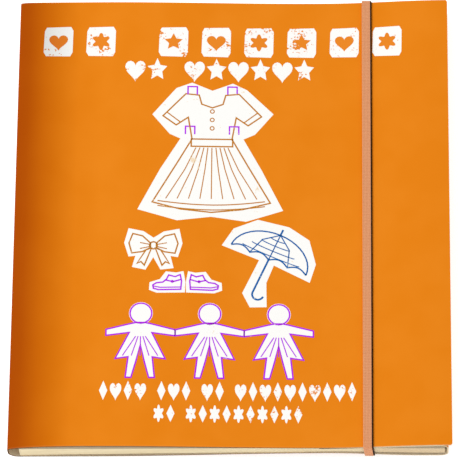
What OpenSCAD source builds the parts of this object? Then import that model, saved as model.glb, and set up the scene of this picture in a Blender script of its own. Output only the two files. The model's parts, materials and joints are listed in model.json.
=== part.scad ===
// Paper doll kit: a creased card wallet closed by an elastic band, with loose sheets and a standing doll.
// Millimetres, lying on its back, spine at -X, top of the cover at +Y, front cover up.

/* [Cover] */
// Width of the front cover
cover_w = 214; // [190:1:240]
// Height of the cover
cover_h = 238; // [210:1:270]
// Thickness of the card
card_t = 0.7; // [0.5:0.05:1]
// Radius of the front cover's free corners
corner_r = 1.2; // [0.5:0.1:4]
// How far the front cover stands out past the fore edge
fore_margin = 1.8; // [1:0.1:4]
// Depth of the inner flap, from the fore edge
flap_w = 62; // [45:1:75]

/* [Bends and squeeze] */
// Outer radius of the bend at the foot of the spine
spine_bend_r = 5; // [3.5:0.1:6]
// Outer radius of the bends at the fore edge
fore_bend_r = 3.6; // [2.5:0.1:5]
// Width over which the front cover rolls down to the spine
roll_w = 38; // [30:1:45]
// From the front cover's free edge to the line where the kit is thinnest
squeeze_inset = 61; // [55:1:70]
// How far the front cover stands higher at its sides than at that line
cover_dip = 3.4; // [2.4:0.1:4.4]
// How far the back cover arches up at that line
arch_h = 3.4; // [2.6:0.1:4.2]
// Width of the flat stretch of the back cover beside the spine
spine_flat_w = 40; // [30:1:50]
// Width of the flat stretch of the back cover beside the fore edge
fore_flat_w = 8; // [6:0.5:12]

/* [Sheets] */
// Number of loose sheets
leaf_count = 14; // [8:1:18]
// Thickness of a sheet
leaf_t = 0.2; // [0.12:0.01:0.3]
// Pitch of the sheets at the spine, where they spread
spread_pitch = 0.6; // [0.4:0.02:0.7]
// Margin between the sheets and the ends of the cover
leaf_margin = 0.5; // [0.4:0.1:4]
// Room between the sheets and the spine bend
spine_room = 0.6; // [0.4:0.1:3]
// Room between the sheets and the fore edge
fore_room = 1; // [0.5:0.1:3]

/* [Elastic band] */
// Width of the elastic
band_w = 4.2; // [3:0.1:7]
// Thickness of the elastic
band_t = 1; // [0.6:0.05:1.3]
// From the front cover's free edge to the middle of the elastic
band_inset = 40.6; // [36:0.2:46]

/* [Doll] */
// Height of the doll figure
doll_h = 118; // [90:1:125]
// Thickness of the doll's card
doll_t = 0.4; // [0.3:0.05:0.5]
// Thickness of the dress and hat paper
paper_t = 0.2; // [0.1:0.02:0.25]
// Radius of the half-round base
base_r = 30; // [24:1:34]
// From the left edge of the sheets to the middle of the doll
doll_inset = 82; // [76:1:86]
// From the lower edge of the sheets to the doll's base
doll_foot_room = 22; // [10:1:40]

/* [Hidden] */
$fn = 96;
// Gap between sheets that lie on each other
leaf_gap = 0.05;
// Gap between a crease bead and the next panel
crease_gap = 0.1;
// Gap between the elastic and what it lies on
band_gap = 0.05;
// Least height of an upright strip between two creases
strip_min_h = 1.5;
// How far a cutting shape runs past what it cuts
overrun = 1;
// Pieces in one slope of a curved panel, and in the roll over the spine
slope_steps = 14;
roll_steps = 12;

// Places across the kit, from the left edge of the spine
spine_x = card_t / 2;
fore_x = cover_w - fore_margin;
fore_axis_x = fore_x - card_t / 2;
fore_bend_x = fore_x - fore_bend_r;
squeeze_x = cover_w - squeeze_inset;
arch_end_x = fore_bend_x - fore_flat_w;
flap_end_x = fore_x - flap_w;
band_x = cover_w - band_inset;
leaf_left_x = spine_bend_r + spine_room;
leaf_right_x = fore_x - card_t - fore_room;

// Smooth step from 0 to 1
function ease(u) = (1 - cos(180 * max(0, min(1, u)))) / 2;

// Places from a to b in even steps
function steps(a, b, count) = [for (i = [0:count]) a + (b - a) * i / count];

// Height of the back cover's underside
function arch(x) = arch_h * min(
    ease((x - spine_flat_w) / (squeeze_x - spine_flat_w)),
    ease((arch_end_x - x) / (arch_end_x - squeeze_x)));

arch_xs = concat(
    [spine_bend_r],
    steps(spine_flat_w, squeeze_x, slope_steps),
    steps(squeeze_x + (arch_end_x - squeeze_x) / slope_steps, arch_end_x, slope_steps - 1),
    [fore_bend_x]);

// The lowest sheet lies on the flat beside the spine and on the arch, and the others fan out above it
low_slope = max([for (x = arch_xs) if (x > leaf_left_x) arch(x) / (x - leaf_left_x)]);
leaf_run = leaf_right_x - leaf_left_x;
leaf_pitch = leaf_t + leaf_gap;
leaf_h = cover_h - 2 * leaf_margin;

function leaf_slope(k) = low_slope - (k - 1) * (spread_pitch - leaf_pitch) / leaf_run;
function leaf_tilt(k) = atan(leaf_slope(k));
function leaf_foot(k) = card_t + leaf_gap + (k - 1) * spread_pitch;

top_tilt = leaf_tilt(leaf_count);
leaf_rise = leaf_t / cos(top_tilt);

// Height of the top sheet's upper face
function stack_top(x) = leaf_foot(leaf_count) + leaf_slope(leaf_count) * (x - leaf_left_x) + leaf_rise;

// Figure, as shares of its height
arm_reach_share = 0.26;
arm_foot_share = 0.5;
arm_w_share = 0.05;
hand_r_share = 0.03;
shoulder_share = 0.75;
shoulder_w_share = 0.2;
neck_w_share = 0.06;
head_r_share = 0.1;
head_share = 0.9;
waist_share = 0.6;
waist_w_share = 0.16;
hem_share = 0.38;
hem_w_share = 0.3;
leg_w_share = 0.075;
leg_gap_share = 0.04;
foot_w_share = 0.34;
foot_h_share = 0.03;
tab_w_share = 0.04;
tab_lap_share = 0.05;
skirt_share = 0.3;
skirt_w_share = 0.44;
collar_drop_share = 0.035;
brim_share = 0.94;
brim_w_share = 0.3;
brim_h_share = 0.022;
crown_w_share = 0.15;

doll_half_w = doll_h * (arm_reach_share + hand_r_share);
doll_x = leaf_left_x + doll_inset * cos(top_tilt);
doll_lift = paper_t + leaf_gap;
dress_z = doll_t + leaf_gap;
doll_stack_t = leaf_gap + doll_lift + dress_z + paper_t;
doll_y = doll_foot_room + base_r - leaf_h / 2;

// What lies between the sheets and the front cover
function layers(x) = (x >= flap_end_x ? card_t + leaf_gap : 0)
    + (abs(x - doll_x) <= doll_half_w ? doll_stack_t : 0);

// How far the front cover's upper face stands above its lowest line
function swell(x, dip) = dip * (1 - min(
    ease((x - roll_w) / (squeeze_x - roll_w)),
    ease((cover_w - x) / (cover_w - squeeze_x))));

lid_xs = concat(
    steps(roll_w, squeeze_x, slope_steps),
    steps(squeeze_x + squeeze_inset / slope_steps, cover_w, slope_steps - 1));
probe_xs = concat(lid_xs, [flap_end_x, doll_x - doll_half_w, doll_x + doll_half_w]);
lid_low_z = max([for (x = probe_xs) if (x < leaf_right_x)
    stack_top(x) + layers(x) + leaf_gap + card_t - swell(x, cover_dip)]);

// Heights of the creases and of the whole kit
spine_low_z = spine_bend_r + crease_gap + card_t / 2;
fore_low_z = fore_bend_r + crease_gap + card_t / 2;
lid_gap = card_t + leaf_gap;
roll_h = spine_bend_r;
// How far the card's inner face has risen in the roll where the sheets begin
roll_rise = (roll_h - card_t) * sqrt(1 - pow((roll_w - leaf_left_x) / (roll_w - card_t), 2));
kit_t = max(
    lid_low_z + cover_dip,
    stack_top(leaf_left_x) + leaf_gap + roll_h - roll_rise,
    2 * spine_low_z + strip_min_h,
    2 * fore_low_z + strip_min_h + 2 * lid_gap);
spine_high_z = kit_t - spine_low_z;
roll_z = kit_t - roll_h;

// Height of the front cover's upper face, right of the roll
function lid(x) = lid_low_z + swell(x, kit_t - lid_low_z);

flap_t = lid(fore_bend_x) - lid_gap;
fore_high_z = flap_t - fore_low_z;
flap_xs = concat([flap_end_x], [for (x = lid_xs) if (x > flap_end_x && x < fore_bend_x) x], [fore_bend_x]);

band_low_z = min(arch(band_x - band_w / 2), arch(band_x + band_w / 2)) - band_gap;
band_high_z = max(lid(band_x - band_w / 2), lid(band_x + band_w / 2)) + band_gap;

function leaf_name(k) = str("leaf_", k < 10 ? "0" : "", k);

// Puts the left edge of the spine where the kit's middle line wants it
module kit() {
    translate([-cover_w / 2, 0, 0]) children();
}

// A panel of card that keeps one section along its height
module panel(section) {
    rotate([90, 0, 0])
        linear_extrude(height = cover_h, center = true)
            polygon(section);
}

// Section of a panel between two lists of points that run the same way
function between(lower, upper) = concat(lower, [for (i = [len(upper) - 1:-1:0]) upper[i]]);

// A rod along the kit's height
module rod(r, length) {
    rotate([90, 0, 0]) cylinder(h = length, r = r, center = true);
}

// Quarter-round bend of card, below and to the left of its axis
module bend(r) {
    intersection() {
        difference() {
            rod(r, cover_h);
            rod(r - card_t, cover_h + overrun);
        }
        translate([-r - overrun, -cover_h, -r - overrun])
            cube([r + overrun, 2 * cover_h, r + overrun]);
    }
}

// Upright strip of card with a bead along each crease
module strip(low_z, high_z) {
    translate([0, 0, low_z]) rod(card_t / 2, cover_h);
    translate([0, 0, high_z]) rod(card_t / 2, cover_h);
    translate([-card_t / 2, -cover_h / 2, low_z]) cube([card_t, cover_h, high_z - low_z]);
}

module back_cover() {
    color("darkorange") kit() {
        translate([spine_bend_r, 0, spine_bend_r]) bend(spine_bend_r);
        panel(between(
            [for (x = arch_xs) [x, arch(x)]],
            [for (x = arch_xs) [x, arch(x) + card_t]]));
        translate([fore_bend_x, 0, fore_bend_r]) mirror([1, 0, 0]) bend(fore_bend_r);
    }
}

module spine_strip() {
    color("orange") kit() translate([spine_x, 0, 0]) strip(spine_low_z, spine_high_z);
}

module fore_edge_strip() {
    color("orange") kit() translate([fore_axis_x, 0, 0]) strip(fore_low_z, fore_high_z);
}

// Points of the roll over the spine, inside or outside the card
function roll_points(inset) = [for (a = steps(0, 90, roll_steps))
    [roll_w - (roll_w - inset) * cos(a), roll_z + (roll_h - inset) * sin(a)]];

// Plan of the front cover, with its free corners rounded
module cover_plan() {
    translate([0, -cover_h / 2, 0]) cube([cover_w - corner_r, cover_h, kit_t + overrun]);
    translate([0, corner_r - cover_h / 2, 0]) cube([cover_w, cover_h - 2 * corner_r, kit_t + overrun]);
    for (side = [-1, 1])
        translate([cover_w - corner_r, side * (cover_h / 2 - corner_r), 0])
            cylinder(h = kit_t + overrun, r = corner_r);
}

module front_cover() {
    free_xs = [for (x = lid_xs) if (x > roll_w) x];
    color("darkorange") kit() intersection() {
        panel(between(
            concat(roll_points(card_t), [for (x = free_xs) [x, lid(x) - card_t]]),
            concat(roll_points(0), [for (x = free_xs) [x, lid(x)]])));
        cover_plan();
    }
}

module inner_flap() {
    color("orange") kit() {
        panel(between(
            [for (x = flap_xs) [x, lid(x) - lid_gap - card_t]],
            [for (x = flap_xs) [x, lid(x) - lid_gap]]));
        translate([fore_bend_x, 0, flap_t - fore_bend_r])
            mirror([1, 0, 0]) mirror([0, 0, 1]) bend(fore_bend_r);
    }
}

// Block as wide as the elastic, with its four edges along the width rounded
module band_block(length, low_z, high_z, r) {
    translate([-band_w / 2, -length / 2, low_z + r]) cube([band_w, length, high_z - low_z - 2 * r]);
    translate([-band_w / 2, r - length / 2, low_z]) cube([band_w, length - 2 * r, high_z - low_z]);
    for (side = [-1, 1], z = [low_z + r, high_z - r])
        translate([0, side * (length / 2 - r), z])
            rotate([0, 90, 0]) cylinder(h = band_w, r = r, center = true);
}

module elastic_band() {
    inner_l = cover_h + 2 * band_gap;
    color("tan") kit() translate([band_x, 0, 0]) difference() {
        band_block(inner_l + 2 * band_t, band_low_z - band_t, band_high_z + band_t, band_t);
        translate([-band_w, -inner_l / 2, band_low_z])
            cube([2 * band_w, inner_l, band_high_z - band_low_z]);
    }
}

// Puts pieces on the slope of a sheet, with the sheet's underside at zero
module on_slope(k) {
    kit() translate([leaf_left_x, 0, leaf_foot(k)])
        rotate([0, -leaf_tilt(k), 0]) children();
}

module leaf(k) {
    color("blanchedalmond") on_slope(k)
        translate([0, -leaf_h / 2, 0]) cube([leaf_run / cos(leaf_tilt(k)), leaf_h, leaf_t]);
}

// Puts pieces on the top sheet, with the doll's crease along X
module at_doll() {
    on_slope(leaf_count) translate([doll_inset, doll_y, leaf_t + leaf_gap + doll_lift]) children();
}

module doll_base() {
    crease_y = doll_t / 2 + crease_gap;
    color("wheat") at_doll() intersection() {
        cylinder(h = doll_t, r = base_r);
        translate([-base_r, -base_r - crease_y, 0]) cube([2 * base_r, base_r, doll_t]);
    }
}

// Flat shape of a doll piece, in shares of the doll's height
module cut_out(outline, thickness) {
    linear_extrude(height = thickness) polygon(outline * doll_h);
}

// The right half of an outline, and its mirror image
function whole(half) = concat(half, [for (i = [len(half) - 1:-1:0]) [-half[i][0], half[i][1]]]);

slip_shares = whole([
    [hem_w_share / 2, hem_share],
    [waist_w_share / 2, waist_share - tab_w_share],
    [waist_w_share / 2, waist_share + tab_w_share],
    [shoulder_w_share / 2, shoulder_share - tab_lap_share],
    [shoulder_w_share / 2, shoulder_share]]);
arm_shares = [
    [shoulder_w_share / 2 - arm_w_share / 2, shoulder_share],
    [shoulder_w_share / 2, shoulder_share],
    [arm_reach_share + arm_w_share / 2, arm_foot_share],
    [arm_reach_share - arm_w_share / 2, arm_foot_share],
    [shoulder_w_share / 2 - arm_w_share / 2, shoulder_share - arm_w_share]];
dress_shares = whole([
    [skirt_w_share / 2, skirt_share],
    [waist_w_share / 2, waist_share - tab_w_share],
    [waist_w_share / 2, waist_share + tab_w_share],
    [shoulder_w_share / 2, shoulder_share - tab_lap_share],
    [shoulder_w_share / 2, shoulder_share],
    [neck_w_share / 2, shoulder_share],
    [0, shoulder_share - collar_drop_share]]);

module doll_figure() {
    leg_x = doll_h * (leg_gap_share + leg_w_share) / 2;
    leg_w = doll_h * leg_w_share;
    leg_h = doll_h * (hem_share + tab_lap_share);
    neck_w = doll_h * neck_w_share;
    foot_w = doll_h * foot_w_share;
    shoulder_y = doll_h * shoulder_share;
    color("wheat") at_doll() {
        translate([0, 0, doll_t / 2]) rotate([0, 90, 0]) cylinder(h = foot_w, r = doll_t / 2, center = true);
        translate([-foot_w / 2, 0, 0]) cube([foot_w, doll_h * foot_h_share, doll_t]);
        for (side = [-1, 1]) {
            translate([side * leg_x - leg_w / 2, 0, 0]) cube([leg_w, leg_h, doll_t]);
            mirror([1 - side, 0, 0]) cut_out(arm_shares, doll_t);
            translate([side * doll_h * arm_reach_share, doll_h * arm_foot_share, 0])
                cylinder(h = doll_t, r = doll_h * hand_r_share);
        }
        cut_out(slip_shares, doll_t);
        translate([-neck_w / 2, shoulder_y - neck_w, 0])
            cube([neck_w, doll_h * head_share - shoulder_y + neck_w, doll_t]);
        translate([0, doll_h * head_share, 0]) cylinder(h = doll_t, r = doll_h * head_r_share);
    }
}

// Tab folded round an edge of the figure that faces +Y, from the paper in front to behind the card
module folded_tab(edge_y) {
    tab_w = doll_h * tab_w_share;
    lap = doll_h * tab_lap_share;
    wall_y = edge_y + leaf_gap;
    for (z = [-doll_lift, dress_z])
        translate([-tab_w / 2, wall_y - lap, z]) cube([tab_w, lap + paper_t, paper_t]);
    translate([-tab_w / 2, wall_y, -doll_lift]) cube([tab_w, paper_t, doll_lift + dress_z + paper_t]);
}

module paper_dress() {
    color("plum") at_doll() {
        translate([0, 0, dress_z]) cut_out(dress_shares, paper_t);
        for (side = [-1, 1]) {
            translate([side * doll_h * (shoulder_w_share / 2 - tab_w_share), 0, 0])
                folded_tab(doll_h * shoulder_share);
            translate([0, doll_h * waist_share, 0])
                rotate([0, 0, side * 90]) folded_tab(doll_h * waist_w_share / 2);
        }
    }
}

module paper_hat() {
    brim_w = doll_h * brim_w_share;
    crown_w = doll_h * crown_w_share;
    brim_y = doll_h * brim_share;
    head_top = doll_h * (head_share + head_r_share);
    color("steelblue") at_doll() {
        translate([-brim_w / 2, brim_y, dress_z]) cube([brim_w, doll_h * brim_h_share, paper_t]);
        translate([-crown_w / 2, brim_y, dress_z]) cube([crown_w, head_top - brim_y, paper_t]);
        folded_tab(head_top);
    }
}

back_cover();
spine_strip();
front_cover();
fore_edge_strip();
inner_flap();
elastic_band();
doll_base();
doll_figure();
paper_dress();
paper_hat();
for (k = [1:leaf_count])
    leaf(k);
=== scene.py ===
import json
import math
import random

import bmesh
import bpy
from mathutils import Matrix, Vector


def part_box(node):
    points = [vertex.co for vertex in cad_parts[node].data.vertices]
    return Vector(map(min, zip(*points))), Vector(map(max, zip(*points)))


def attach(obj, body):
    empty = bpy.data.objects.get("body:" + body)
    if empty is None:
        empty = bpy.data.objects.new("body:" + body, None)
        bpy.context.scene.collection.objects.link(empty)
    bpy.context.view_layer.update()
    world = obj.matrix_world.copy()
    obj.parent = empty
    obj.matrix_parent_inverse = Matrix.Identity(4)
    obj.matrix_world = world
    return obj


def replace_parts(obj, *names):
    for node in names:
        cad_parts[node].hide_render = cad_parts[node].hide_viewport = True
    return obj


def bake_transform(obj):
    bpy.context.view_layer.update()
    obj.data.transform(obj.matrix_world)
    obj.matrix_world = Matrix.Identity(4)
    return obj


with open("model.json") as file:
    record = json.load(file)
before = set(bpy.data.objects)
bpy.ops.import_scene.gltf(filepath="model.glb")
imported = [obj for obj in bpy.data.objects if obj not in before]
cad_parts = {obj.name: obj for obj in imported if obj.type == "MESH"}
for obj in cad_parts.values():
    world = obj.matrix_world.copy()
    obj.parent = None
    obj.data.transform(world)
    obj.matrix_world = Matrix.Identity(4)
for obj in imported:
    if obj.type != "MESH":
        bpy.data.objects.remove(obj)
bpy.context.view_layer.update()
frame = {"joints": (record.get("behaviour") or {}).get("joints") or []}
scene = bpy.context.scene
scene.view_settings.view_transform = "Standard"
mm = 0.001
tiny = 1e-7  # metres, nearer than which two points are one
creases = {j["name"]: Vector(j["pos_m"]) / mm for j in frame["joints"] if "pos_m" in j}


def hexColor(code):  # sRGB hex to linear
    parts = [int(code[i:i + 2], 16) / 255 for i in (1, 3, 5)]
    return tuple(c / 12.92 if c <= 0.04045 else ((c + 0.055) / 1.055) ** 2.4 for c in parts) + (1.0,)


nodePrefixes = ("GeometryNode", "ShaderNode", "")


def addNode(tree, kind, sockets=None, stops=(), **settings):  # kinds are written without their prefix
    made = tree.nodes.new(next(p + kind for p in nodePrefixes if hasattr(bpy.types, p + kind)))
    for key, value in settings.items():
        setattr(made, key, value)
    for key, value in (sockets or {}).items():
        if isinstance(value, bpy.types.Node):
            value = value.outputs[0]
        if isinstance(value, bpy.types.NodeSocket):
            tree.links.new(value, made.inputs[key])
        else:
            made.inputs[key].default_value = value
    for _ in stops[2:]:
        made.color_ramp.elements.new(0.5)
    for i, (position, code) in enumerate(stops):
        made.color_ramp.elements[i].position = position
        made.color_ramp.elements[i].color = hexColor(code)
    return made


def newMaterial(name):
    material = bpy.data.materials.new(name)
    material.use_nodes = True
    tree = material.node_tree
    tree.nodes.clear()
    return material, tree, addNode(tree, "TexCoord").outputs["Object"]


def grain(tree, place, sizeMm, detail=3.0, stretch=(1, 1, 1)):  # cloudy pattern of about that size
    mapped = addNode(tree, "Mapping", {"Vector": place, "Scale": stretch})
    return addNode(tree, "TexNoise", {"Vector": mapped, "Scale": 1 / (sizeMm * mm), "Detail": detail})


def surface(tree, color, pattern, rough, specular, depthMm, height=None, sheen=0):  # ends every material
    spread = addNode(tree, "MapRange", {0: pattern, 3: rough[0], 4: rough[1]})
    bump = addNode(tree, "Bump", {"Height": height or pattern, "Distance": depthMm * mm})
    shader = addNode(tree, "BsdfPrincipled", {
        "Base Color": color, "Roughness": spread, "Specular IOR Level": specular, "Sheen Weight": sheen,
        "Normal": bump})
    addNode(tree, "OutputMaterial", {"Surface": shader})


def spineShade(tree, place, color, shade, grey=False):  # painted shade: darker where the roll over the spine turns away from the light
    x = addNode(tree, "SeparateXYZ", {0: place}).outputs[0]
    along = addNode(tree, "MapRange", {0: x, 1: shade["spineFrom"] * mm, 2: shade["spineTo"] * mm})
    tones = [(spot, "#" + code[1:3] * 3 if grey else code) for spot, code in shade["spineTones"]]
    tone = addNode(tree, "ValToRGB", {0: along}, tones)
    shaded = addNode(tree, "Mix", {0: 1.0, 6: color, 7: tone}, data_type="RGBA", blend_type="MULTIPLY")
    return shaded.outputs[2]


# Offset-printed board: flat matte ink, faintly cloudy, with painted shade darker round the spine, rubbed at
# the cut ends
def printedBoard(name, shade):
    material, tree, place = newMaterial(name)
    cloud = addNode(tree, "ValToRGB", {0: grain(tree, place, sizeMm=22, detail=2)},
                    [(0.35, shade["deep"]), (0.65, shade["main"])])
    ink = spineShade(tree, place, cloud, shade)
    y = addNode(tree, "SeparateXYZ", {0: place}).outputs[1]
    reach = addNode(tree, "Math", {0: y}, operation="ABSOLUTE")
    rubbed = addNode(tree, "MapRange", {
        0: reach, 1: shade["rubFrom"] * mm, 2: shade["rubTo"] * mm, 4: shade["rub"]})
    patchy = addNode(tree, "Math", {0: rubbed, 1: grain(tree, place, sizeMm=1.6)}, operation="MULTIPLY")
    worn = addNode(tree, "Mix", {0: patchy, 6: ink, 7: hexColor(shade["rubbed"])}, data_type="RGBA")
    tooth = grain(tree, place, sizeMm=0.9, detail=4)
    surface(tree, worn.outputs[2], tooth, rough=(0.62, 0.78), specular=0.02, depthMm=0.02)
    return material


# Uncoated paper or board: fibrous, no gloss, a little uneven in tone
def fibrePaper(name, light, dark, grainMm=1.2, stretch=(1, 1, 1), paintedShade=None):
    material, tree, place = newMaterial(name)
    fibre = grain(tree, place, grainMm, detail=4, stretch=stretch)
    color = addNode(tree, "ValToRGB", {0: fibre}, [(0.3, dark), (0.62, light)])
    if paintedShade:  # painted shade: darker towards one side
        x = addNode(tree, "SeparateXYZ", {0: place}).outputs[0]
        along = addNode(tree, "MapRange", {0: x, 1: paintedShade["from"] * mm, 2: paintedShade["to"] * mm})
        inShade = addNode(tree, "Mix", {0: along, 6: hexColor(paintedShade["color"]), 7: color}, data_type="RGBA")
        color = inShade.outputs[2]
    surface(tree, color, fibre, rough=(0.8, 0.95), specular=0.15, depthMm=0.015)
    return material


# Printing ink on board: thin and matte, worn through to the board in specks
def wornInk(name, color, under, wear, shade=None, grey=False):
    material, tree, place = newMaterial(name)
    speck = grain(tree, place, sizeMm=1.1, detail=6)
    patches = grain(tree, place, sizeMm=9, detail=2)
    worn = addNode(tree, "Math", {0: speck, 1: patches}, operation="MULTIPLY")
    tone = addNode(tree, "ValToRGB", {0: worn}, [(wear, under), (wear + 0.03, color)])
    # painted shade round the spine, the same as on the board; grey tones for the white ink
    if shade:
        tone = spineShade(tree, place, tone, shade, grey)
    surface(tree, tone, speck, rough=(0.55, 0.8), specular=0.25, depthMm=0.01)
    return material


# Woven elastic: rubber threads in a cotton cover, fine cross threads that catch the light
def wovenElastic(name, thread, light, threadMm, sheen=0.2):
    material, tree, place = newMaterial(name)
    _, y, z = addNode(tree, "SeparateXYZ", {0: place}).outputs
    run = addNode(tree, "Math", {0: y, 1: z}, operation="ADD")
    turns = addNode(tree, "Math", {0: run, 1: 2 * math.pi / (threadMm * mm)}, operation="MULTIPLY")
    wave = addNode(tree, "Math", {0: turns}, operation="SINE")
    fuzz = grain(tree, place, sizeMm=0.5, detail=4)
    level = addNode(tree, "Math", {0: wave, 1: 0.2, 2: fuzz}, operation="MULTIPLY_ADD")
    color = addNode(tree, "ValToRGB", {0: level}, [(0.25, thread), (0.75, light)])
    surface(tree, color, fuzz, rough=(0.6, 0.85), specular=0.08, depthMm=0.05, height=level, sheen=sheen)
    return material


# Paper printed with round dots on a plain ground
def dottedPaper(name, ground, dot, pitchMm):
    material, tree, place = newMaterial(name)
    grid = addNode(tree, "VectorMath", {0: place, 1: (1 / (pitchMm * mm),) * 3}, operation="MULTIPLY")
    cell = addNode(tree, "VectorMath", {0: grid}, operation="FRACTION")
    x, y, _ = addNode(tree, "SeparateXYZ", {0: cell}).outputs
    flat = addNode(tree, "CombineXYZ", {0: x, 1: y, 2: 0.5})
    far = addNode(tree, "VectorMath", {0: flat, 1: (0.5, 0.5, 0.5)}, operation="DISTANCE")
    dots = addNode(tree, "ValToRGB", {0: far.outputs["Value"]}, [(0.26, dot), (0.29, ground)])
    fibre = grain(tree, place, sizeMm=0.8, detail=4)
    fleck = addNode(tree, "ValToRGB", {0: fibre}, [(0.3, "#7A7068"), (0.7, "#FFFFFF")])
    color = addNode(tree, "Mix", {0: 0.12, 6: dots, 7: fleck}, data_type="RGBA").outputs[2]
    surface(tree, color, fibre, rough=(0.75, 0.92), specular=0.5, depthMm=0.012)
    return material


orange = {
    "main": "#EC871B", "deep": "#E98315",
    "rubbed": "#F2C58A", "rub": 0.25, "rubFrom": 118.3, "rubTo": 119.1,
    # painted shade round the spine: these tones are multiplied into the colour from spineFrom to spineTo
    "spineFrom": -107, "spineTo": -62,
    "spineTones": [(0.0, "#B8903F"), (0.12, "#C39F55"), (0.3, "#DAC47C"), (0.45, "#E7DAA0"),
                   (0.68, "#F9F5E0"), (0.95, "#FFFFFF")],
}
# painted shadow on the card's cut edges: dark brown left of x = 40 mm, fading to the plain edge colour by x
# = 74 mm
cutEdgeShade = {"color": "#543818", "from": 40, "to": 74}
# painted shade on the sheets' cut edges: darker right of x = 62 mm, fully by 76 mm, under the fold at the
# fore edge
sheetEdgeShade = {"color": "#E3CBA6", "from": 76, "to": 62}
alongEdge = (0.02, 0.02, 1)  # draws the grain out into layers
materials = {
    "board": printedBoard("Offset printed board", orange),
    "lining": fibrePaper("Uncoated cream board", "#E6D4B8", "#DAC5A4"),
    "cutBoard": fibrePaper("Cut board edge", "#E2D2B2", "#CBB48E", 0.5, paintedShade=cutEdgeShade),
    "sheetEdge": fibrePaper("Cut edges of drawing paper", "#F3E4C0", "#E7D3AA", 0.5, alongEdge, sheetEdgeShade),
    "sheet": fibrePaper("Cream drawing paper", "#F1E6CE", "#ECDFC4", 1.4),
    "white": wornInk("Worn white ink", "#FFFEFA", "#EC8612", 0.15, orange, True),
    "patch": wornInk("White ink", "#FFFEFA", "#F6DFBE", 0.1),
    "ground": wornInk("Orange ink over white", "#EC8612", "#F7F3EC", 0.08, orange),
    "purple": wornInk("Purple line ink", "#B410EA", "#DDBFEA", 0.11),
    "brown": wornInk("Amber line ink", "#C47C10", "#EBD3AC", 0.11),
    "blue": wornInk("Blue line ink", "#0060A8", "#B4CFE4", 0.11),
    "elastic": wovenElastic("Woven elastic", "#D68D5F", "#E8A577", 0.8),
    # a dark thread painted as the shadow along the elastic's right edge
    "paintedShadow": wovenElastic("Dark selvedge thread", "#241004", "#3A1E08", 0.8, 0),
    "drawing": wornInk("Brown drawing ink", "#4E3420", "#6E5238", 0.1),
    "dollCard": fibrePaper("Doll card", "#F6E2CC", "#F0D6BA", 1.0),
    "dress": dottedPaper("Dotted dress paper", "#A95BD2", "#F6ECF8", 4.2),
    "hat": fibrePaper("Straw yellow hat paper", "#F2CE74", "#E6BC58", 0.8),
    "hair": wornInk("Chestnut ink", "#8A4F20", "#A0683A", 0.12),
    "rose": wornInk("Rose ink", "#E98C88", "#F6E2CC", 0.1),
    "plainWhite": wornInk("White opaque ink", "#FFFDF8", "#F4E8DA", 0.09),
    "plainPurple": wornInk("Purple opaque ink", "#8B2FB5", "#B988D0", 0.1),
    "plainBlue": wornInk("Blue opaque ink", "#1F74B8", "#9CC0DD", 0.1),
}
print("materials made:", len(materials))

wallet = {
    "width": 214, "height": 238, "card": 0.7, "cornerRadius": 1.2, "dip": 3.4, "squeezeX": 153,
    "rollWidth": 38, "rollHeight": 5, "rollSquare": 9, "spineBend": 5, "foreBend": 3.6, "foreX": 212.2,
    "flapWidth": 62, "flapGap": 0.05, "arch": 3.4, "archFrom": 40, "archTo": 200.6,
    "step": 2, "stripStep": 0.12, "cornerStep": 0.2, "rows": 24, "bendSteps": 10, "rollSteps": 30,
    "sharpDeg": 50,
}
wallet["thick"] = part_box("front_cover")[1].z / mm
wallet["flapTop"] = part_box("inner_flap")[1].z / mm


def ease(u):
    return (1 - math.cos(math.pi * max(0, min(1, u)))) / 2


def squeezed(x, start, stop):  # from 0 at start and stop to 1 under the elastic
    peak = wallet["squeezeX"]
    return ease(min((x - start) / (peak - start), (stop - x) / (stop - peak)))


def lid(x):  # height of the front cover's upper face right of the roll
    return wallet["thick"] - wallet["dip"] * squeezed(x, wallet["rollWidth"], wallet["width"])


def arch(x):  # height of the back cover's underside
    return wallet["arch"] * squeezed(x, wallet["archFrom"], wallet["archTo"])


def stretch(a, b, step):  # even places from a to b, about a step apart
    count = max(1, round(abs(b - a) / step))
    return [a + (b - a) * i / count for i in range(count + 1)]


def arc(cx, cz, rx, rz, fromDeg, toDeg, count):
    angles = [math.radians(fromDeg + (toDeg - fromDeg) * i / count) for i in range(count + 1)]
    return [(cx + rx * math.cos(a), cz + rz * math.sin(a)) for a in angles]


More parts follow.
